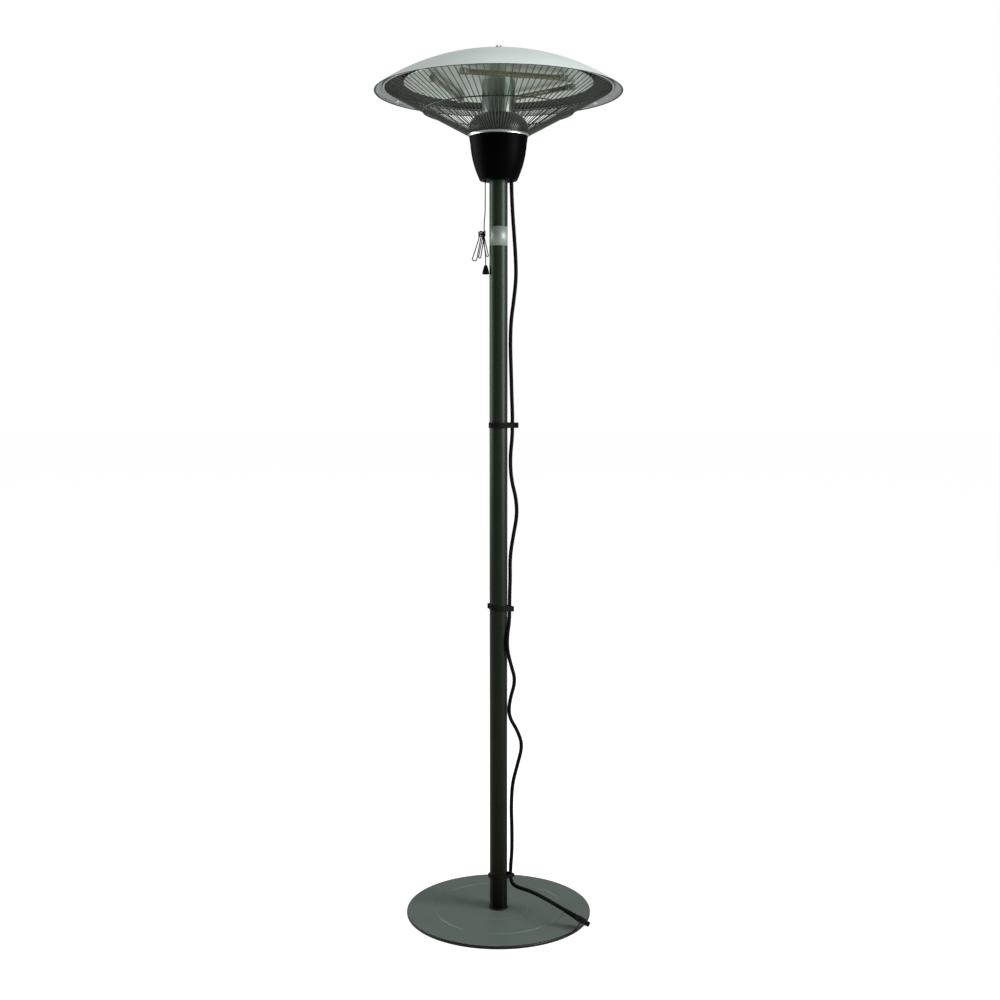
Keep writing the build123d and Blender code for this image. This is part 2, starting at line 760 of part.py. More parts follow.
def lamp_parts():
    """Three quartz lamps with their filaments, ceramic caps and sheet brackets."""
    filaments, caps, brackets = [], [], []
    half = lamp_length / 2
    for index, name in enumerate(lamp_names):
        frame = lamp_frame(index)
        lying = frame * Rot(0, 90, 0)
        parts[f"lamp_{name}"] = lying * (Cylinder(lamp_radius, lamp_length)
                                         - Cylinder(lamp_radius - lamp_wall, lamp_length))
        filaments.append(lying * Cylinder(filament_radius, lamp_length - 0.2))
        for side in (-1, 1):
            place = frame * Pos(side * (half + 0.1), 0, 0) * Rot(0, 90 * side, 0)
            cap = extrude(Circle(cap_radius), cap_length)
            cap = chamfer(cap.faces().sort_by(Axis.Z)[-1].edges(), 1.2)
            caps.append(place * cap)
            plate_x = side * (half + cap_length / 2)
            top = reflector_height - lamp_height - 0.15
            plate = block((-bracket_sheet / 2, -bracket_width / 2, -cap_radius - 2),
                          (bracket_sheet / 2, bracket_width / 2, top))
            foot = block((-bracket_sheet / 2, -bracket_width / 2, top - bracket_sheet),
                         (bracket_foot, bracket_width / 2, top))
            hole = Rot(0, 90, 0) * Cylinder(cap_radius + 0.15, 4 * bracket_sheet)
            bracket = plate + foot - hole
            if side < 0:
                bracket = Rot(0, 0, 180) * bracket
            brackets.append(frame * Pos(plate_x, 0, 0) * bracket)
    parts["lamp_filaments"] = Compound(children=filaments)
    parts["lamp_caps"] = Compound(children=caps)
    parts["lamp_brackets"] = Compound(children=brackets)


def strap_part(height, width, cord, tilt, tail, left_tail):
    """A strap round the pole and the cord beside it, with its loose ends."""
    pole_loop = pole_radius + strap_clearance
    cord_loop = power_cord_radius + strap_clearance
    centers = [(0.0, 0.0, pole_loop), (cord[0], cord[1], cord_loop)]

    def racetrack(extra):
        circles = [edge for x, y, r in centers for edge in (Pos(x, y, 0) * Circle(r + extra)).edges()]
        return make_hull(circles)

    band = extrude(racetrack(strap_thickness) - racetrack(0), width / 2, both=True)
    right = cord[0] + cord_loop + strap_thickness / 2
    band += block((right, -strap_thickness / 2, -width / 2),
                  (right + tail, strap_thickness / 2, width / 2))
    if left_tail:
        left = -pole_loop - strap_thickness / 2
        band += block((left - left_tail, -strap_thickness / 2, -width / 2),
                      (left, strap_thickness / 2, width / 2))
    if tilt:
        fall = tan(radians(tilt))
        slant = Matrix([[1, 0, 0, 0], [0, 1, 0, 0], [-fall, 0, 1, 0], [0, 0, 0, 1]])
        band = band.solid().transform_geometry(slant)
    return Pos(0, 0, height) * band


def fold(start, end, way):
    """Four points of a half turn from one strand to the next, upwards or downwards."""
    start, end = Vector(*start), Vector(*end)
    cut = 0.29 * (end - start).length
    across = (end - start).normalized() * cut
    rise = Vector(0, 0, way * cut)
    return [start, start + across + rise, end - across + rise, end]


def hank_points():
    """Points of the folded pull cord: two loops on the left of the tie and one on the right."""
    back, front = hank_rows
    first, second, third, fourth = [hank_center_x + strand_pitch * i for i in (1.5, 0.5, -0.5, -1.5)]
    tie_bottom = tie_center_z - tie_turns * tie_pitch / 2
    inner_top, outer_top = tie_center_z, tie_center_z + 4.0
    points = [Vector(first, back, hank_start), Vector(first, back, tie_bottom)]
    points += fold((-41.8, back, 1590.5), (-47.2, back, 1590.5), -1)
    points += [Vector(second, back, tie_bottom)]
    points += fold((second, back, inner_top), (third, back, inner_top), 1)
    points += [Vector(third, back, tie_bottom)]
    points += fold((-51.4, back, 1585.0), (-61.8, back, 1586.0), -1)
    points += [Vector(fourth, back, tie_bottom)]
    points += fold((fourth, back, outer_top), (second, front, outer_top), 1)
    points += [Vector(second, front, tie_bottom)]
    points += fold((-28.9, front + 0.6, 1594.0), (-23.7, front + 0.6, 1594.0), -1)
    points += [Vector(first, front, tie_bottom)]
    points += fold((first, front, inner_top), (first, front - 3.1, inner_top), 1)
    points += [Vector(first, front - 3.1, hank_end)]
    return points


def tie_points():
    """Corners of the winding that holds the hank, rising one pitch for each turn."""
    half_x = 1.5 * strand_pitch + pull_cord_radius + 0.3 + tie_wire
    low_y, high_y = hank_rows[1] - 3.1, hank_rows[0]
    half_y = (high_y - low_y) / 2 + pull_cord_radius + 0.3 + tie_wire
    center_y = (high_y + low_y) / 2
    corners = [(1, -1), (-1, -1), (-1, 1), (1, 1)]
    points = []
    for i in range(4 * tie_turns + 1):
        x, y = corners[i % 4]
        z = tie_center_z + tie_pitch * (i / 4 - tie_turns / 2)
        points.append(Vector(hank_center_x + x * half_x, center_y + y * half_y, z))
    return points


def pull_cord_parts():
    """The pull cord in three stretches with its tie, and the bell-shaped knob on its end."""
    section = Circle(pull_cord_radius)
    first_x = hank_center_x + 1.5 * strand_pitch
    back, front = hank_rows
    upper = cord_path([(pull_x, 0, pull_cord_top), (pull_x, 0, 1716), (pull_x - 0.5, 0.2, 1692),
                       (first_x, back, 1670), (first_x, back, hank_start)])
    parts["pull_cord_upper"] = swept(upper, section)
    hank = cord_path(hank_points())
    print("pull cord in the hank", round(hank.length))
    parts["pull_cord_hank"] = swept(hank, RegularPolygon(pull_cord_radius, 8))
    tie = FilletPolyline(*tie_points(), radius=2.0)
    parts["pull_cord_tie"] = swept(tie, RegularPolygon(tie_wire, 8))
    tail = cord_path([(first_x, front - 3.1, hank_end), (first_x, front - 3.1, 1622),
                      (first_x + 2.6, front - 3.4, 1603), (knob_x, knob_y, 1585), (knob_x, knob_y, knob_top)])
    parts["pull_cord_tail"] = swept(tail, section)
    middle = (knob_top + knob_bottom) / 2
    lip = knob_bottom + 3.2
    parts["pull_knob"] = Pos(knob_x, knob_y, 0) * turned(
        Line((0, knob_top), (knob_top_radius, knob_top)),
        ThreePointArc((knob_top_radius, knob_top), (knob_top_radius + 2.8, middle + 1.5),
                      (knob_bottom_radius, lip)),
        Line((knob_bottom_radius, lip), (knob_bottom_radius, knob_bottom + 1.2)),
        Line((knob_bottom_radius, knob_bottom + 1.2), (knob_bottom_radius - 1.2, knob_bottom)),
        Line((knob_bottom_radius - 1.2, knob_bottom), (0, knob_bottom)),
        Line((0, knob_bottom), (0, knob_top)),
    )


def cord_clip_parts():
    """The three straps that hold the power cord against the pole."""
    for name, size in straps.items():
        parts[f"cord_strap_{name}"] = strap_part(**size)


def plug_frame():
    """Plane of the plug: x along the cord into the plug, z out of the back, away from the pins."""
    back = plug_pin_direction * -1
    along = (plug_cord_direction - back * plug_cord_direction.dot(back)).normalized()
    return Plane(origin=plug_face_center, x_dir=along, z_dir=back)


def plug_parts():
    """An angled two-pin plug with its ribbed strain relief, lying on its pins on the base."""
    frame = plug_frame()
    back_radius = plug_face_radius - 5
    body = turned(
        Line((0, 0), (plug_face_radius - 0.8, 0)),
        Line((plug_face_radius - 0.8, 0), (plug_face_radius, 0.8)),
        Line((plug_face_radius, 0.8), (plug_face_radius, 7.0)),
        ThreePointArc((plug_face_radius, 7.0), (plug_face_radius - 2.2, 10.2), (back_radius - 4, plug_thickness)),
        Line((back_radius - 4, plug_thickness), (0, plug_thickness)),
        Line((0, plug_thickness), (0, 0)),
    )
    axis_height = plug_thickness / 2
    neck_length = plug_face_radius + 3
    neck = Pos(-neck_length, 0, axis_height) * Rot(0, 90, 0) * extrude(Circle(plug_neck_radius - 0.4), neck_length)
    nose = Pos(0, 0, axis_height) * Rot(0, 90, 0) * extrude(Circle(plug_neck_radius - 0.4), plug_face_radius + 5)
    body += neck
    body += nose
    pins = []
    for side in (-1, 1):
        hole = Pos(0, side * plug_pin_spacing / 2, 0) * Circle(plug_pin_radius)
        pin = extrude(hole, -plug_pin_length)
        pin = fillet(pin.faces().sort_by(Axis.Z)[0].edges(), plug_pin_radius * 0.6)
        pins.append(frame * pin)
    parts["plug_body"] = frame * body
    parts["plug_pins"] = Compound(children=pins)

    relief_start = Pos(-neck_length, 0, axis_height)
    outline = [(0, 0), (relief_start_radius, 0)]
    rib = relief_length / relief_ribs
    for i in range(relief_ribs):
        share = (i + 0.5) / relief_ribs
        radius = relief_start_radius + (relief_end_radius - relief_start_radius) * share
        outline.append((radius, rib * (i + 0.62)))
        if i < relief_ribs - 1:
            outline.append((radius - 0.9, rib * (i + 0.64)))
            outline.append((radius - 0.9, rib * (i + 0.98)))
            outline.append((radius - 0.15, rib * (i + 1.0)))
    outline.append((relief_end_radius - 0.2, relief_length))
    outline.append((0, relief_length))
    relief = turned_polygon(*outline)
    parts["plug_relief"] = frame * relief_start * Rot(0, -90, 0) * relief
    end = frame * Pos(-neck_length - relief_length, 0, axis_height)
    return end.position, frame.x_dir


def power_cord_part(plug_end, plug_direction):
    """The power cord, from the terminal block down the pole to the plug."""
    lead_in = [plug_end - plug_direction * back for back in (30.0, 0.0)]
    points = [Vector(*p) for p in power_cord_points] + lead_in
    for before, here, after in zip(points, points[1:], points[2:]):
        if (here - before).get_angle(after - here) < 0.2:
            print("three points almost in line at", here)
    path = cord_path(points)
    print("power cord length", round(path.length))
    parts["power_cord"] = swept(path, Circle(power_cord_radius))


def build():
    base_parts()
    pole_parts()
    housing_parts()
    switch_parts()
    electrical_parts()
    column_parts()
    canopy_parts()
    guard_parts()
    lamp_parts()
    cord_clip_parts()
    pull_cord_parts()
    power_cord_part(*plug_parts())


build()
os.makedirs("parts", exist_ok=True)
for name, shape in parts.items():
    export_step(shape, f"parts/{name}.step")
print(len(parts), "parts")
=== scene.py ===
# %% [markdown]
# # An infrared standing patio heater
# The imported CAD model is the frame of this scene: its hard parts are shown as they are and get
# their finishes here. The cords, the straps, the foil, the lamp coils and the switch spring are
# made in Blender, where soft and wound things are easier to shape. Everything is in metres, with
# +Z up and the front facing -Y. A list of places that is easier to read in millimetres is scaled
# by MM when it is used.

# %% Load the frame
from math import atan2, cos, pi, radians, sin, tan

import bmesh
import bpy
from mathutils import Matrix, Vector


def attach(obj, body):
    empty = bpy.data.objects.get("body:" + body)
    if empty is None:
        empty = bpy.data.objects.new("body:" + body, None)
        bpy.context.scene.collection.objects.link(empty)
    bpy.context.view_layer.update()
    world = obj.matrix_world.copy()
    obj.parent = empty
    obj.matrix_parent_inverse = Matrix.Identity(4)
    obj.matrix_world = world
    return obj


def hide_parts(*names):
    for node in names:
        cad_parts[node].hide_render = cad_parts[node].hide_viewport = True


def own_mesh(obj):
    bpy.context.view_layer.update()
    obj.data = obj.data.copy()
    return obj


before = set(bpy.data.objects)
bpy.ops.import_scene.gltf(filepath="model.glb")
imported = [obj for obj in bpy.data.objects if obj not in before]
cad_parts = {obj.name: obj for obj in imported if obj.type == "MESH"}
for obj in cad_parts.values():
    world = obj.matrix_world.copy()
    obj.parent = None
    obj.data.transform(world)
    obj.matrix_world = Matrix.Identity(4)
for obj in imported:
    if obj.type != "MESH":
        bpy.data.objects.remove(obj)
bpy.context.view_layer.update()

MM = 0.001

# %% [markdown]
# ## The camera
# The heater was photographed from the front, a little over three metres away and at chest height,
# with the lens tilted slightly down. That is why the canopy shows its underside while the base
# shows its top. The lens and the tilt come from the outlines of the base, the canopy and the guard.

# %% Camera
def add_object(name, data):
    """Put a new object into the scene."""
    made = bpy.data.objects.new(name, data)
    bpy.context.scene.collection.objects.link(made)
    return made


camera_data = bpy.data.cameras.new("camera")
camera_data.lens = 47.97
camera_data.sensor_width = 36.0
camera_data.shift_x = 0.0015
camera_data.shift_y = 0.003
camera = add_object("camera", camera_data)
camera.location = (0.0, -3.175, 1.309)
camera.rotation_euler = (radians(90 - 5.38), 0.0, 0.0)
bpy.context.scene.camera = camera
print("camera lens", camera_data.lens, "mm")

# %% [markdown]
# ## Shader maths in plain Python
# A finish is a small program made of nodes. Wiring each Math node by hand hides the idea, so a
# socket is wrapped in a class whose operators add the nodes, and a finish reads as a formula.

# %% Sockets that do arithmetic
class Value:
    """A socket whose arithmetic adds Math nodes."""

    def __init__(self, finish, socket):
        self.finish = finish
        self.socket = socket

    def math(self, operation, *terms):
        return self.finish.node("ShaderNodeMath", {"operation": operation}, *terms)

    def __add__(self, other):
        return self.math("ADD", self, other)

    def __radd__(self, other):
        return self.math("ADD", other, self)

    def __sub__(self, other):
        return self.math("SUBTRACT", self, other)

    def __rsub__(self, other):
        return self.math("SUBTRACT", other, self)

    def __mul__(self, other):
        return self.math("MULTIPLY", self, other)

    def __pow__(self, other):
        return self.math("POWER", self, other)

    def sine(self):
        return self.math("SINE", self)

    def clamped(self):
        return self.math("MAXIMUM", self.math("MINIMUM", self, 1.0), 0.0)

    def over(self, limit, slope):
        """0 up to the limit, then rising to 1."""
        return ((self - limit) * slope).clamped()

    def under(self, limit, slope):
        """1 well under the limit, falling to 0 at it."""
        return ((limit - self) * slope).clamped()


print("sockets can add, multiply and clamp")

# %% [markdown]
# ## A finish
# A finish is one material, and the class below holds its node tree. Each method adds the nodes for
# one idea: where a point is, a cloudy noise there, a blend of two colours, a small relief, and the
# Principled shader at the end. Places are Object coordinates, so that a pattern stays on its piece.

# %% Finish
class Finish:
    """One material. Its node method adds any node, sets it up and feeds its inputs."""

    def __init__(self, name):
        self.material = bpy.data.materials.new(name)
        self.material.use_nodes = True
        self.tree = self.material.node_tree
        self.tree.nodes.clear()
        self.output = self.tree.nodes.new("ShaderNodeOutputMaterial")

    def feed(self, socket, value):
        if isinstance(value, Value):
            self.tree.links.new(value.socket, socket)
        else:
            socket.default_value = value

    def node(self, kind, settings=None, *inputs, out=0, **named):
        made = self.tree.nodes.new(kind)
        for key, value in (settings or {}).items():
            setattr(made, key, value)
        for socket, value in zip(made.inputs, inputs):
            self.feed(socket, value)
        for key, value in named.items():
            self.feed(made.inputs[key.replace("_", " ")], value)
        return Value(self, made.outputs[out])

    def place(self):
        """Where a point lies on the piece, in metres."""
        return self.node("ShaderNodeTexCoord", out="Object")

    def split(self, vector):
        """The x, y and z of a vector."""
        parts = self.tree.nodes.new("ShaderNodeSeparateXYZ")
        self.feed(parts.inputs[0], vector)
        return [Value(self, output) for output in parts.outputs]

    def radial(self, place):
        """Distance of a point from the pole's axis."""
        x, y, _ = self.split(place)
        return (x * x + y * y) ** 0.5

    def height(self, place):
        """Height of a point above the floor."""
        return self.split(place)[2]

    def noise(self, place, scale, detail, stretch=(1, 1, 1)):
        """Cloudy values from 0 to 1. A larger scale makes finer clouds."""
        mapped = self.node("ShaderNodeMapping", None, Vector=place, Scale=stretch)
        return self.node("ShaderNodeTexNoise", None, Vector=mapped, Scale=scale, Detail=detail,
                         out="Fac")

    def mix(self, share, first, second):
        """Blend two colours."""
        made = self.tree.nodes.new("ShaderNodeMix")
        made.data_type = "RGBA"
        self.feed(made.inputs[0], share)
        for socket, colour in ((made.inputs[6], first), (made.inputs[7], second)):
            self.feed(socket, colour if isinstance(colour, Value) else (*colour, 1.0))
        return Value(self, made.outputs[2])

    def bump(self, height, strength, distance):
        """Small relief that only the light sees."""
        return self.node("ShaderNodeBump", None, Height=height, Strength=strength,
                         Distance=distance)

    def surface(self, colour, roughness, metallic, **more):
        """The Principled shader, with plain numbers set on its own sockets."""
        colour = colour if isinstance(colour, Value) else (*colour, 1.0)
        shader = self.node("ShaderNodeBsdfPrincipled", None, Base_Color=colour, Roughness=roughness,
                           Metallic=metallic, **more)
        self.tree.links.new(shader.socket, self.output.inputs["Surface"])
        return self.material


print("finish ready")

# %% [markdown]
# ## Dressing the CAD pieces
# A CAD piece comes with the plain material of its slot. To give it a finish, its material list is
# emptied, the finish is put in, and every face points at that one entry.

# %% Dress
def dress(material, *nodes):
    """Give CAD nodes a finish."""
    for name in nodes:
        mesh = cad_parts[name].data
        mesh.materials.clear()
        mesh.materials.append(material)
        for face in mesh.polygons:
            face.material_index = 0
    print(material.name, "on", ", ".join(nodes))


print(len(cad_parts), "CAD pieces to dress")

# %% [markdown]
# ## The canopy's metal
# The dish is spun from steel sheet and finished in a satin silver. Spinning leaves faint rings
# round the axis, so its roughness and a very shallow bump follow the distance from the axis. The
# inside of the dish gets a painted shade, much darker than its outside, and the hem's lower edge
# a thin painted shadow. One material does all three: it asks whether a face looks down, and how
# far out and how high it is.

# %% Canopy finish
# Painted shade: downward faces inside this radius get a near black colour for the shade inside the
# dish.
SHADED_INSIDE_RADIUS = 0.2685
# Painted shadow: below this height the hem's lower edge is coloured dark.
HEM_SHADOW_TOP = 1.9698
INSIDE_SHADE_COLOUR = (0.016, 0.020, 0.015)
HEM_SHADOW_COLOUR = (0.02, 0.022, 0.02)


def canopy_finish():
    f = Finish("satin silver canopy")
    place = f.place()
    rings = f.noise(f.radial(place), 900.0, 2.0)
    cloud = f.noise(place, 6.0, 3.0)
    silver = f.mix(cloud, (0.42, 0.47, 0.45), (0.48, 0.53, 0.51))
    facing = f.node("ShaderNodeNewGeometry", out="Normal")
    # Painted shade inside the dish, on faces that look down and lie within the radius.
    downward = f.split(facing)[2].under(-0.05, 8.0)
    inside = f.radial(place).under(SHADED_INSIDE_RADIUS, 900.0)
    colour = f.mix(downward * inside, silver, INSIDE_SHADE_COLOUR)
    # Painted shadow along the hem's lower edge.
    colour = f.mix(f.height(place).under(HEM_SHADOW_TOP, 2500.0), colour, HEM_SHADOW_COLOUR)
    roughness = 0.46 + rings * 0.06 + cloud * 0.06
    return f.surface(colour, roughness, 0.3, Normal=f.bump(rings, 0.04, 0.0003))


dress(canopy_finish(), "canopy")

# %% [markdown]
# ## Painted steel
# The pole and the base have a dark grey-green powder coat with a fine metallic sparkle, and the
# cup and the cone above it are coated too. Under a close look such a coat has a slight orange
# peel, which the bump gives, and a little wear shows as lighter, duller patches. The pole gets a
# painted shade that turns it darker and more olive towards its foot, and the base a painted
# shade, nearly black, on the lower edge round its rim.

# %% Powder coats
# Painted shade: the pole's coat darkens towards its foot at this rate.
SHADE_FADE_PER_METRE = 0.62
# Painted shade: outside this radius and below the edge height the base's rim wall is coloured
# nearly black.
SKIRT_SHADE_RADIUS = 0.222
SKIRT_SHADE_COLOUR = (0.004, 0.004, 0.003)


def powder_coat(name, dark, light, roughness, metallic, gloss=0.5, edge=None, foot=None):
    """A sprayed coat. foot: painted shade colour at the floor; edge: top of the rim's painted black
    shade.
    """
    f = Finish(name)
    place = f.place()
    grain = f.noise(place, 2600.0, 1.0)
    cloud = f.noise(place, 14.0, 4.0)
    peel = f.noise(place, 700.0, 2.0)
    colour = f.mix((cloud * 0.7 + grain * 0.3).clamped(), dark, light)
    # Painted shade, darker and more olive towards the floor.
    if foot:
        colour = f.mix((f.height(place) * SHADE_FADE_PER_METRE).clamped(), foot, colour)
    # Painted shade on the base's rim wall, nearly black.
    if edge:
        skirt_shade = f.height(place).under(edge, 3000.0) * f.radial(place).over(SKIRT_SHADE_RADIUS, 2000.0)
        colour = f.mix(skirt_shade, colour, SKIRT_SHADE_COLOUR)
    return f.surface(colour, roughness + cloud * 0.08 - grain * 0.04, metallic,
                     Normal=f.bump(peel, 0.12, 0.0002), Specular_IOR_Level=gloss)


# The foot colour is a painted shade at the pole's foot.
pole_coat = powder_coat("grey green pole", (0.019, 0.026, 0.019), (0.027, 0.035, 0.026),
                        0.33, 0.30, 0.12, foot=(0.0035, 0.0040, 0.0012))
base_coat = powder_coat("grey green base", (0.092, 0.116, 0.101), (0.118, 0.147, 0.130),
                        0.40, 0.3, 0.3, edge=0.0088)
cone_coat = powder_coat("dark pressed sheet", (0.040, 0.050, 0.038), (0.060, 0.072, 0.057),
                        0.30, 0.8)
cup_coat = powder_coat("black housing", (0.0004, 0.0005, 0.0005), (0.0009, 0.0010, 0.0010),
                       0.40, 0.0, 0.012)
dress(pole_coat, "pole_foot", "pole_lower", "pole_middle", "pole_upper")
dress(base_coat, "base_cover")
dress(cone_coat, "hub_cone")
dress(cup_coat, "switch_housing")

# %% [markdown]
# ## Bright metal
# The guard's end rings and the cap nut are chromed, the column and the reflector are brushed
# aluminium, and the wires and the middle ring are plain steel dulled by heat. They differ in tint,
# in roughness and in the direction of the fine scratches that brushing leaves.

# %% Bright metals
LEVEL_SCRATCH = (1, 1, 60)
UPRIGHT_SCRATCH = (1, 1, 0.04)


def bright_metal(name, colour, roughness, scratch=LEVEL_SCRATCH):
    f = Finish(name)
    place = f.place()
    streak = f.noise(place, 260.0, 2.0, scratch)
    smudge = f.noise(place, 22.0, 3.0)
    tone = f.mix(smudge, [c * 0.9 for c in colour], colour)
    return f.surface(tone, roughness + streak * 0.05 + smudge * 0.025, 1.0,
                     Normal=f.bump(streak, 0.02, 0.0001))


aluminium = bright_metal("reflector aluminium", (0.66, 0.74, 0.66), 0.42, UPRIGHT_SCRATCH)
zinc = bright_metal("zinc plated steel", (0.60, 0.61, 0.62), 0.30)
dress(bright_metal("chrome", (0.46, 0.49, 0.46), 0.16),
      "guard_top_ring", "guard_bottom_ring", "cap_nut")
dress(aluminium, "reflector", "lamp_brackets")
dress(bright_metal("brushed column", (0.19, 0.225, 0.19), 0.25, UPRIGHT_SCRATCH), "post")
dress(zinc, "hub_plate", "neck_column", "pole_foot_plug", "base_bolt", "base_washer",
      "clamp_plate", "center_stud", "stud_nut", "canopy_spacer", "canopy_washer", "guard_clips",
      "switch_frame", "switch_pins", "switch_lever")
dress(bright_metal("guard wire", (0.085, 0.10, 0.082), 0.36), "guard_wires")
dress(bright_metal("guard middle ring", (0.04, 0.048, 0.038), 0.4), "guard_middle_ring")
# Painted shade: the plug pins are coloured nearly black for the shade they lie in under the plug.
dress(bright_metal("shade darkened pins", (0.045, 0.042, 0.034), 0.4), "plug_pins")

# %% [markdown]
# ## Cast iron, rubber and plastic
# The weight inside the base is rough cast iron, and the lamps end in caps darkened by heat. The
# pads, the cord and the grommet are black rubber. The plug, the knob and the bush are moulded
# plastic with the fine grain that a spark-eroded mould leaves, and the inner parts of the switch
# are white nylon. All of them are one formula: two colours, mixed by a fine grain and a cloud.

# %% Dull finishes
BLACK = (0.002, 0.002, 0.002)


def dull(name, dark, light, roughness, scale, bump, depth=0.0002, **more):
    f = Finish(name)
    place = f.place()
    grain = f.noise(place, scale, 3.0)
    cloud = f.noise(place, scale / 40, 3.0)
    colour = f.mix((grain * 0.5 + cloud * 0.5).clamped(), dark, light)
    return f.surface(colour, roughness + grain * 0.1, 0.0, Normal=f.bump(grain, bump, depth),
                     **more)


cord_rubber = dull("cord rubber", BLACK, (0.005, 0.005, 0.005), 0.5, 1800.0, 0.15,
                   Specular_IOR_Level=0.05)
plastic = dull("moulded plastic", BLACK, (0.006, 0.006, 0.006), 0.5, 2400.0, 0.25,
               Specular_IOR_Level=0.05)
pad_rubber = dull("pad rubber", (0.003, 0.003, 0.003), (0.008, 0.008, 0.008), 0.6, 1500.0, 0.3,
                  Specular_IOR_Level=0.15)
iron = dull("cast iron", (0.05, 0.05, 0.05), (0.10, 0.095, 0.09), 0.65, 500.0, 0.6, 0.0006)
lamp_ends = dull("dark lamp ends", (0.16, 0.17, 0.14), (0.24, 0.25, 0.21), 0.5, 900.0, 0.1)
nylon = dull("white nylon", (0.72, 0.72, 0.68), (0.80, 0.80, 0.77), 0.45, 1500.0, 0.1)
dress(cord_rubber, "cord_grommet", "plug_relief")
dress(plastic, "plug_body", "pull_knob", "pull_cord_bush", "tilt_switch", "lead_bundle")
dress(pad_rubber, "base_feet", "pole_foot_ring")
dress(iron, "base_weight")
dress(lamp_ends, "lamp_caps")
dress(nylon, "terminal_block", "switch_plunger", "ratchet_wheel")

# %% [markdown]
# ## The lamps
# Each lamp is a quartz tube with a gold film that holds back the glare. The film tints the glass a
# dull olive gold, and the coil inside shows through it. The glass is thin, so a half-clear surface
# over the coil reads the same as real refraction and renders without noise.

# %% Lamp finishes
def quartz_finish():
    f = Finish("gold quartz")
    place = f.place()
    cloud = f.noise(place, 60.0, 2.0)
    colour = f.mix(cloud, (0.12, 0.125, 0.065), (0.19, 0.19, 0.11))
    return f.surface(colour, 0.14 + cloud * 0.06, 0.35, Alpha=0.72, Coat_Weight=0.6,
                     Coat_Roughness=0.08)


dress(quartz_finish(), "lamp_front", "lamp_right", "lamp_left")

# %% [markdown]
# ## The filaments
# In each tube runs a fine coil of resistance wire. A coil is a curve: its points go round in a
# circle while they move along, and the curve's bevel gives the wire its round section. The curve
# is then made a mesh and turned to its tube's place, and the three become one piece.

# %% Coiled filaments
LAMP_DISTANCE = 0.123
LAMP_HEIGHT = 1.9835
LAMP_LENGTH = 0.212
LAMP_ANGLE = 16.5
FILAMENT_END_GAP = 0.002
FILAMENT_RADIUS = 0.0016
FILAMENT_TURNS = 52
FILAMENT_WIRE = 0.00045


def coil_mesh(radius, turns, length, wire, steps):
    """A coil of round wire along the x axis, with this many points in a turn."""
    curve = bpy.data.curves.new("coil", "CURVE")
    curve.dimensions = "3D"
    curve.bevel_depth = wire
    curve.bevel_resolution = 1
    line = curve.splines.new("POLY")
    count = int(turns * steps)
    line.points.add(count)
    for i, point in enumerate(line.points):
        angle = 2 * pi * i / steps
        point.co = (length * (i / count - 0.5), radius * cos(angle), radius * sin(angle), 1.0)
    holder = bpy.data.objects.new("coil", curve)
    mesh = bpy.data.meshes.new_from_object(holder)
    bpy.data.objects.remove(holder)
    return mesh


def filament_piece():
    three = bmesh.new()
    for index in range(3):
        angle = radians(LAMP_ANGLE + 120 * index)
        length = LAMP_LENGTH - 2 * FILAMENT_END_GAP
        mesh = coil_mesh(FILAMENT_RADIUS, FILAMENT_TURNS, length, FILAMENT_WIRE, steps=10)
        center = Vector((sin(angle) * LAMP_DISTANCE, -cos(angle) * LAMP_DISTANCE, LAMP_HEIGHT))
        mesh.transform(Matrix.Translation(center) @ Matrix.Rotation(angle, 4, "Z"))
        three.from_mesh(mesh)
    mesh = bpy.data.meshes.new("filament_coils")
    three.to_mesh(mesh)
    three.free()
    piece = add_object("filament_coils", mesh)
    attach(piece, "heater")
    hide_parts("lamp_filaments")
    mesh.materials.append(bright_metal("dark filament", (0.22, 0.19, 0.16), 0.45))
    return piece


coils = filament_piece()
print("filament coils", len(coils.data.polygons), "faces")

# %% [markdown]
# ## The switch spring
# Inside the black cup a small steel spring pushes the pull switch back up, and the real one closes
# up as the cord is pulled. The CAD spring keeps its length, and it is made again here as a coil
# between the bottom of the switch frame and the plunger, with one fixed length too.

# %% Switch spring
SPRING_CENTER = (-0.031, 0, 1.798)
SPRING_RADIUS = 0.0035
SPRING_TURNS = 5.5
SPRING_LENGTH = 0.0189
SPRING_WIRE = 0.00045


def spring_piece():
    mesh = coil_mesh(SPRING_RADIUS, SPRING_TURNS, SPRING_LENGTH, SPRING_WIRE, steps=16)
    mesh.name = "return_spring"
    upright = Matrix.Rotation(radians(-90), 4, "Y")
    mesh.transform(Matrix.Translation(SPRING_CENTER) @ upright)
    piece = add_object("return_spring", mesh)
    mesh.materials.append(zinc)
    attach(piece, "heater")
    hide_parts("switch_spring")
    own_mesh(piece)
    return piece


print("spring", len(spring_piece().data.polygons), "faces")

# %% [markdown]
# ## The power cord
# A rubber mains cord leaves the black cup, wanders down beside the pole, and is held to it by
# three straps. Below the last strap it crosses to its plug, which rests on the base. Its line is a
# NURBS curve: each point pulls the line towards itself, so a few points give the loose bends. The
# points are in millimetres, and the last ones follow from where the plug lies and how it points.

# %% Power cord
CORD_R = 4.5
RELIEF_LIFT = 6.0
RELIEF_REACH = 44.0
STRAIGHT_RUN = 30.0


def cord_curve(name, points, radius, material, resolution=6):
    """A round cord along points in millimetres, with closed ends."""
    curve = bpy.data.curves.new(name, "CURVE")
    curve.dimensions = "3D"
    curve.bevel_depth = radius * MM
    curve.bevel_resolution = 4
    curve.resolution_u = resolution
    curve.use_fill_caps = True
    line = curve.splines.new("NURBS")
    line.points.add(len(points) - 1)
    for point, place in zip(line.points, points):
        point.co = (*[value * MM for value in place], 1.0)
    line.order_u = 3
    line.use_endpoint_u = True
    curve.materials.append(material)
    return add_object(name, curve)


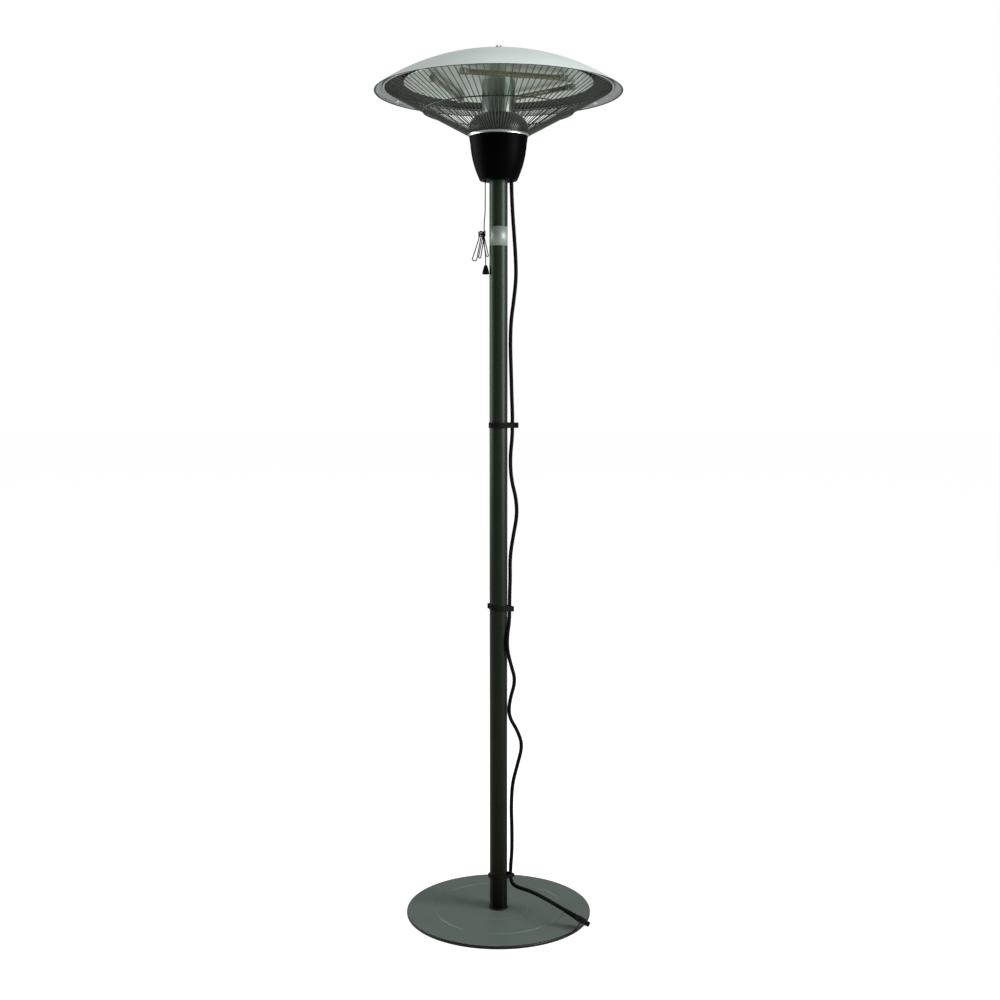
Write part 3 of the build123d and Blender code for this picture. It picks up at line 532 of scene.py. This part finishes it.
PLUG_FACE = Vector((193.0, -130.8, 26.4))
PLUG_PINS = Vector((-0.503, -0.422, -0.754)).normalized()
PLUG_CORD = Vector((0.864, -0.249, -0.437)).normalized()
PLUG_BACK = PLUG_PINS * -1
PLUG_ALONG = (PLUG_CORD - PLUG_BACK * PLUG_CORD.dot(PLUG_BACK)).normalized()
RELIEF_END = PLUG_FACE + PLUG_BACK * RELIEF_LIFT - PLUG_ALONG * RELIEF_REACH

POWER_CORD = [
    (30.0, 0.0, 1804.0),
    (30.0, 0.0, 1758.0),
    (32.5, -1.0, 1700.0),
    (36.5, -2.0, 1645.0),
    (40.5, -2.0, 1588.0),
    (41.5, -1.0, 1540.0),
    (36.0, 1.0, 1490.0),
    (29.0, 1.0, 1438.0),
    (28.0, 0.0, 1380.0),
    (30.0, -1.0, 1322.0),
    (31.5, 0.0, 1262.0),
    (33.2, 0.0, 1222.0),
    (33.0, 0.0, 1170.0),
    (27.6, 0.5, 1118.0),
    (30.5, 1.5, 1066.0),
    (42.0, 1.5, 1022.0),
    (44.5, 0.5, 980.0),
    (35.5, -0.5, 932.0),
    (27.4, -1.0, 880.0),
    (28.2, -0.5, 828.0),
    (26.7, 0.0, 788.0),
    (26.7, 0.0, 742.0),
    (25.4, -8.6, 718.0),
    (21.3, -16.0, 692.0),
    (20.9, -16.8, 658.0),
    (30.0, -9.0, 618.0),
    (41.5, -6.0, 579.0),
    (27.0, -7.5, 532.0),
    (24.5, -9.5, 492.0),
    (46.0, -5.0, 456.0),
    (58.5, -3.0, 418.0),
    (46.0, -3.0, 370.0),
    (33.5, -2.0, 322.0),
    (31.0, -1.0, 264.0),
    (33.0, 0.5, 206.0),
    (33.0, 1.0, 150.0),
    (29.5, 0.0, 112.0),
    (29.5, 0.0, 77.0),
    (42.0, -6.0, 64.0),
    (76.0, -26.0, 62.0),
    (110.0, -64.0, 59.0),
    tuple(RELIEF_END - PLUG_ALONG * STRAIGHT_RUN),
    tuple(RELIEF_END),
]

power_cord = cord_curve("power_cord_line", POWER_CORD, CORD_R, cord_rubber)
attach(power_cord, "heater")
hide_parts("power_cord")
print("power cord points", len(POWER_CORD))

# %% [markdown]
# ## The pull cord
# A thin braided cord hangs from the switch. Its spare length is folded into three loops and tied
# near their top with four turns, as it comes from the box, and a bell-shaped knob hangs on the
# end. A NURBS line cuts a sharp fold short, so each half turn gets two corners across it, and one
# more point on either strand.

# %% Pull cord
PULL_CORD_R = 1.2
PULL_X = -31.0
HANK_X = -39.1
PITCH = 3.6
BACK_Y, FRONT_Y, TAIL_Y = 1.5, -1.5, -4.6
TIE_Z = 1644.5
TIE_BOTTOM = TIE_Z - 6.2
CORNER_CUT = 0.29


def fold(before, start, end, after, way):
    """A half turn from one strand to the next. way is 1 at the top and -1 at the bottom."""
    before, start, end, after = [Vector(point) for point in (before, start, end, after)]
    cut = CORNER_CUT * (end - start).length
    across = (end - start).normalized() * cut
    rise = Vector((0, 0, way * cut))
    leg = (across + rise).length
    points = [start + (before - start).normalized() * leg, start, start + across + rise]
    points += [end - across + rise, end, end + (after - end).normalized() * leg]
    return [tuple(point) for point in points]


def pull_cord_points():
    first, second, third, fourth = [HANK_X + PITCH * i for i in (1.5, 0.5, -0.5, -1.5)]
    first_low, second_low, third_low, fourth_low = [(x, BACK_Y, TIE_BOTTOM)
                                                    for x in (first, second, third, fourth)]
    front_low, last_low = (second, FRONT_Y, TIE_BOTTOM), (first, FRONT_Y, TIE_BOTTOM)
    tail_high = (first, TAIL_Y, 1634)
    points = [(PULL_X, 0, 1777), (PULL_X, 0, 1716), (PULL_X - 0.5, 0.2, 1692),
              (first, BACK_Y, 1670), first_low]
    points += fold(first_low, (-41.8, BACK_Y, 1590.5), (-47.2, BACK_Y, 1590.5), second_low, -1)
    points += [second_low]
    points += fold(second_low, (second, BACK_Y, TIE_Z), (third, BACK_Y, TIE_Z), third_low, 1)
    points += [third_low]
    points += fold(third_low, (-51.4, BACK_Y, 1585.0), (-61.8, BACK_Y, 1586.0), fourth_low, -1)
    points += [fourth_low]
    over_start, over_end = (fourth, BACK_Y, TIE_Z + 4), (second, FRONT_Y, TIE_Z + 4)
    points += fold(fourth_low, over_start, over_end, front_low, 1)
    points += [front_low]
    loop_start, loop_end = (-28.9, FRONT_Y + 0.6, 1594.0), (-23.7, FRONT_Y + 0.6, 1594.0)
    points += fold(front_low, loop_start, loop_end, last_low, -1)
    points += [last_low]
    points += fold(last_low, (first, FRONT_Y, TIE_Z), (first, TAIL_Y, TIE_Z), tail_high, 1)
    points += [tail_high, (first, TAIL_Y, 1622), (first + 2.6, TAIL_Y - 0.3, 1603),
               (-30.0, -4.7, 1585), (-30.0, -4.7, 1571.5)]
    return points


pull_cord_line = pull_cord_points()
print("pull cord points", len(pull_cord_line))

# %% [markdown]
# ## The braid
# Close up, the cord's braid is a row of small ridges. A sine of the height gives them, with a fine
# noise for the stray fibres, both as relief on black.

# %% Braid
def braid_finish():
    f = Finish("braided pull cord")
    place = f.place()
    weave = (f.height(place) * 5200.0).sine() * 0.5 + 0.5
    grain = f.noise(place, 3000.0, 2.0)
    colour = f.mix(grain, (0.001, 0.001, 0.001), (0.004, 0.004, 0.004))
    return f.surface(colour, 0.8, 0.0, Normal=f.bump(weave * 0.7 + grain * 0.3, 0.5, 0.0002),
                     Specular_IOR_Level=0.1)


braid = braid_finish()
pull_cord = cord_curve("pull_cord_line", pull_cord_line, PULL_CORD_R, braid, 12)
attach(pull_cord, "pull")
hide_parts("pull_cord_upper", "pull_cord_hank", "pull_cord_tail")
print("pull cord", pull_cord.name)

# %% [markdown]
# ## The winding
# Four turns of thin cord hold the hank together. Seen from above they go round a flat bundle, so
# the line has four corners in a turn, and the NURBS curve rounds them off.

# %% Winding
TIE_R = 1.1
TIE_GAP = 0.3
TIE_TURNS = 4
TIE_PITCH = 3.1


def tie_points():
    """Turns round the strands, as corners of a box that climbs a little with each corner."""
    half_x = 1.5 * PITCH + PULL_CORD_R + TIE_GAP + TIE_R
    half_y = (BACK_Y - TAIL_Y) / 2 + PULL_CORD_R + TIE_GAP + TIE_R
    center_y = (BACK_Y + TAIL_Y) / 2
    corners = [(1, -1), (-1, -1), (-1, 1), (1, 1)]
    points = []
    for i in range(4 * TIE_TURNS + 1):
        x, y = corners[i % 4]
        turn = i / 4 - TIE_TURNS / 2
        points.append((HANK_X + x * half_x, center_y + y * half_y, TIE_Z + TIE_PITCH * turn))
    return points


tie = cord_curve("pull_cord_winding", tie_points(), TIE_R, braid)
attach(tie, "pull")
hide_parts("pull_cord_tie")
print("winding points", len(tie_points()))

# %% [markdown]
# ## Straps
# Each strap is a flat band of black hook-and-loop webbing that goes round the pole and the cord
# together. Its outline is the tight hull of two circles. A bmesh makes the two circles, wraps them
# in a convex hull, and keeps only the outer edge, which is then drawn up to the band's height. A
# short flat grid at the end stands for the free end of the band. Sizes are in millimetres.

# %% Strap sizes
STRAP_THICK = 1.8
POLE_R = 21.5
STRAP_GAP = 0.3
ROUND_EDGE = 0.4
STRAPS = {
    "top": {"height": 1196.0, "width": 13.0, "cord_x": 33.0, "tilt": 0.0,
            "tail": 9.0, "left_tail": 0.0},
    "middle": {"height": 758.0, "width": 13.0, "cord_x": 26.7, "tilt": 7.0,
               "tail": 5.0, "left_tail": 4.0},
    "bottom": {"height": 92.0, "width": 9.0, "cord_x": 29.5, "tilt": 0.0,
               "tail": 4.0, "left_tail": 3.0},
}
print("straps", list(STRAPS))

# %% [markdown]
# ## The webbing
# Hook-and-loop webbing is woven in fine ribs with a fuzzy face. The ribs are a sine of the height,
# the fuzz is noise, and a roughness near 1 keeps it matt.

# %% Webbing
def webbing_finish():
    f = Finish("black webbing")
    place = f.place()
    rib = (f.height(place) * 4200.0).sine() * 0.5 + 0.5
    fuzz = f.noise(place, 1500.0, 4.0)
    colour = f.mix(fuzz, (0.003, 0.003, 0.003), (0.010, 0.010, 0.010))
    return f.surface(colour, 0.9, 0.0, Normal=f.bump(rib * 0.4 + fuzz * 0.6, 0.8, 0.0004),
                     Specular_IOR_Level=0.1)


webbing = webbing_finish()
print(webbing.name)

# %% [markdown]
# ## The straps' shape
# Every strap is made by the same steps and differs only in its row of sizes: where it sits, how
# wide it is, how far out the cord lies there, how far it tilts and how long its free ends are.

# %% Straps
def thicken(piece, thickness):
    """Give a thin sheet a wall, half of it to either side."""
    wall = piece.modifiers.new("wall", "SOLIDIFY")
    wall.thickness = thickness
    wall.offset = 0.0


def strap_piece(name, height, width, cord_x, tilt, tail, left_tail):
    low = bmesh.new()
    middle = STRAP_THICK / 2
    for x, r in ((0.0, POLE_R + STRAP_GAP + middle), (cord_x, CORD_R + STRAP_GAP + middle)):
        bmesh.ops.create_circle(low, segments=72, radius=r, matrix=Matrix.Translation((x, 0, 0)))
    hull = bmesh.ops.convex_hull(low, input=low.verts)
    spare = {item for item in hull["geom_interior"] if isinstance(item, bmesh.types.BMVert)}
    bmesh.ops.delete(low, geom=list(spare), context="VERTS")
    bmesh.ops.delete(low, geom=low.faces[:], context="FACES_ONLY")
    rim = sorted(low.verts, key=lambda v: atan2(v.co.y, v.co.x - cord_x / 2))
    for edge in low.edges[:]:
        low.edges.remove(edge)
    loop = [low.edges.new((a, b)) for a, b in zip(rim, rim[1:] + rim[:1])]
    drawn = bmesh.ops.extrude_edge_only(low, edges=loop)
    top = [item for item in drawn["geom"] if isinstance(item, bmesh.types.BMVert)]
    bmesh.ops.translate(low, verts=top, vec=(0, 0, width))
    right = cord_x + CORD_R + STRAP_GAP + middle
    ends = [(right, tail, 1)]
    if left_tail:
        ends.append((-POLE_R - STRAP_GAP - middle, left_tail, -1))
    for x, length, way in ends:
        strip = bmesh.ops.create_grid(low, x_segments=4, y_segments=6, size=0.5)["verts"]
        bmesh.ops.scale(low, verts=strip, vec=(length, width, 1))
        bmesh.ops.rotate(low, verts=strip, cent=(0, 0, 0), matrix=Matrix.Rotation(pi / 2, 3, "X"))
        bmesh.ops.translate(low, verts=strip, vec=(x + way * length / 2, 0, width / 2))
    bmesh.ops.translate(low, verts=low.verts, vec=(0, 0, -width / 2))
    slope = tan(radians(tilt))
    for vert in low.verts:
        vert.co.z += height - slope * vert.co.x
    bmesh.ops.scale(low, verts=low.verts, vec=(MM, MM, MM))
    bmesh.ops.recalc_face_normals(low, faces=low.faces)
    mesh = bpy.data.meshes.new(name)
    low.to_mesh(mesh)
    low.free()
    piece = add_object(name, mesh)
    thicken(piece, STRAP_THICK * MM)
    edge = piece.modifiers.new("edge", "BEVEL")
    edge.width = ROUND_EDGE * MM
    edge.segments = 2
    mesh.materials.append(webbing)
    return piece


for strap_name, sizes in STRAPS.items():
    strap = strap_piece(f"webbing_{strap_name}", **sizes)
    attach(strap, "heater")
    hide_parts(f"cord_strap_{strap_name}")
    print(strap.name, len(strap.data.polygons), "faces before its wall")

# %% [markdown]
# ## The foil
# A plain piece of silver foil is wrapped round the front of the pole under the cup. It is a thin
# strip: one upright edge is spun part of the way round the pole's axis and given a small thickness.

# %% Foil
FOIL_LOW = 1.6165
FOIL_HIGH = 1.6610
FOIL_RADIUS = 0.02162
FOIL_TURN = 164
FOIL_THICK = 0.0002


def foil_piece():
    strip = bmesh.new()
    start = Matrix.Rotation(radians(-FOIL_TURN / 2), 3, "Z") @ Vector((0, -FOIL_RADIUS, 0))
    verts = [strip.verts.new((start.x, start.y, z)) for z in (FOIL_LOW, FOIL_HIGH)]
    edge = strip.edges.new(verts)
    bmesh.ops.spin(strip, geom=[*verts, edge], cent=(0, 0, 0), axis=(0, 0, 1),
                   angle=radians(FOIL_TURN), steps=48)
    bmesh.ops.recalc_face_normals(strip, faces=strip.faces)
    mesh = bpy.data.meshes.new("foil")
    strip.to_mesh(mesh)
    strip.free()
    for face in mesh.polygons:
        face.use_smooth = True
    piece = add_object("foil", mesh)
    thicken(piece, FOIL_THICK)
    f = Finish("silver foil")
    place = f.place()
    crease = f.noise(place, 90.0, 4.0, (1, 1, 0.3))
    tone = f.mix(crease, (0.20, 0.24, 0.21), (0.28, 0.33, 0.295))
    mesh.materials.append(f.surface(tone, 0.42 + crease * 0.1, 0.3,
                                    Normal=f.bump(crease, 0.1, 0.0004)))
    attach(piece, "heater")
    return piece


foil = foil_piece()
print("foil", len(foil.data.polygons), "faces")

# %% [markdown]
# ## The floor
# The photograph has a plain white ground. A wide pale floor keeps the soft shadow under the base,
# and it glows a little where the camera, a reflection or glass looks at it, but not as a light, so
# the ground comes out white while the heater isn't lit from below.

# %% Floor
FLOOR_GREY = (0.40, 0.40, 0.40, 1.0)
GLOW = 0.52
GLOW_TO_CAMERA = 0.41


def floor_piece():
    ground = bmesh.new()
    bmesh.ops.create_grid(ground, x_segments=1, y_segments=1, size=30.0)
    mesh = bpy.data.meshes.new("floor")
    ground.to_mesh(mesh)
    ground.free()
    piece = add_object("floor", mesh)
    f = Finish("white floor")
    paths = f.tree.nodes.new("ShaderNodeLightPath")
    direct = Value(f, paths.outputs["Is Camera Ray"])
    mirrored = Value(f, paths.outputs["Is Glossy Ray"])
    through = Value(f, paths.outputs["Is Transmission Ray"])
    seen = (direct + mirrored + through).clamped()
    plain = f.node("ShaderNodeBsdfDiffuse", None, Color=FLOOR_GREY)
    glow = f.node("ShaderNodeEmission", None, Color=(1, 1, 1, 1),
                  Strength=GLOW + direct * GLOW_TO_CAMERA)
    both = f.node("ShaderNodeAddShader", None, plain, glow)
    made = f.node("ShaderNodeMixShader", None, seen, plain, both)
    f.tree.links.new(made.socket, f.output.inputs["Surface"])
    mesh.materials.append(f.material)
    return piece


print("floor", tuple(floor_piece().dimensions), "m")

# %% [markdown]
# ## The light
# The world is white to the camera but dim as a light. A large soft box stands at either side,
# because upright metal shows them as long highlights, and a third hangs above for the canopy and
# the base.

# %% Light
WORLD_TINT = (0.95, 0.97, 1.0, 1.0)
WORLD_DIM = 0.16


def world_light():
    world = bpy.data.worlds.new("studio")
    bpy.context.scene.world = world
    world.use_nodes = True
    nodes, links = world.node_tree.nodes, world.node_tree.links
    nodes.clear()
    output = nodes.new("ShaderNodeOutputWorld")
    paths = nodes.new("ShaderNodeLightPath")
    dim, white = nodes.new("ShaderNodeBackground"), nodes.new("ShaderNodeBackground")
    dim.inputs["Color"].default_value = WORLD_TINT
    dim.inputs["Strength"].default_value = WORLD_DIM
    white.inputs["Color"].default_value = (1, 1, 1, 1)
    white.inputs["Strength"].default_value = 1.0
    seen = nodes.new("ShaderNodeMixShader")
    links.new(paths.outputs["Is Camera Ray"], seen.inputs[0])
    links.new(dim.outputs[0], seen.inputs[1])
    links.new(white.outputs[0], seen.inputs[2])
    links.new(seen.outputs[0], output.inputs["Surface"])


def soft_box(name, place, aim, size, power):
    """A rectangular lamp that faces the point it is aimed at."""
    data = bpy.data.lights.new(name, "AREA")
    data.shape = "RECTANGLE"
    data.size, data.size_y = size
    data.energy = power
    lamp = add_object(name, data)
    lamp.location = place
    lamp.rotation_euler = (Vector(aim) - Vector(place)).to_track_quat("-Z", "Y").to_euler()


world_light()
soft_box("left box", (-2.9, 0.7, 1.9), (0, 0, 1.5), (3.0, 2.2), 95)
soft_box("right box", (2.75, -1.2, 2.0), (0, 0, 1.6), (1.5, 2.4), 150)
soft_box("top box", (0.3, -0.6, 4.4), (0, 0, 1.5), (2.4, 2.4), 72)
bpy.context.scene.view_settings.view_transform = "Standard"
print("lights placed")
